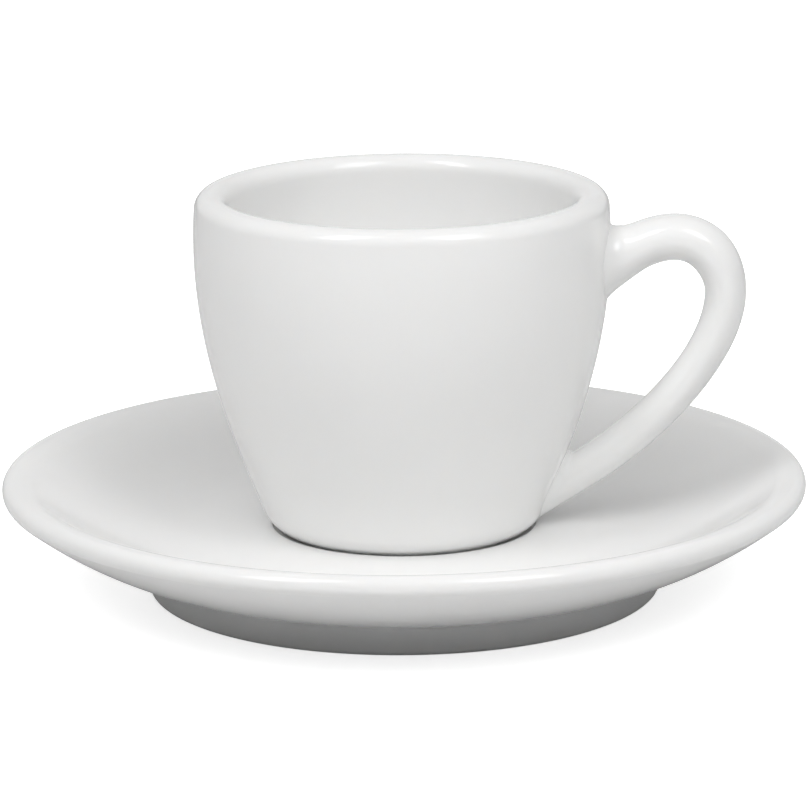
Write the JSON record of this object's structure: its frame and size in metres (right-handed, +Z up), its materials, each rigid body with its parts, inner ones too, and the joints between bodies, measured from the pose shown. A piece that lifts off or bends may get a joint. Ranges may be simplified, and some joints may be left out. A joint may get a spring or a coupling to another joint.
{
  "type": "espresso cup with saucer",
  "caption": "Thick-walled white espresso cup with a looped oval handle, standing loose in the shallow round seat of a dished saucer.",
  "frame": {"origin": "middle of the saucer's foot ring, on the table", "axes": "+Z up along the axis of cup and saucer, +X towards the cup's handle, -Y towards the viewer"},
  "size_m": [0.12, 0.12, 0.0601],
  "materials": {
    "saucer_glaze": "gloss",
    "cup_glaze": "gloss"
  },
  "bodies": {
    "saucer": {"saucer": "saucer_glaze"},
    "cup": {"cup_body": "cup_glaze", "handle": "cup_glaze"}
  },
  "joints": [
    {"name": "cup_lift", "type": "slide", "parent": "saucer", "child": "cup", "axis": [0, 0, 1], "range_m": [0, 0.08]}
  ]
}
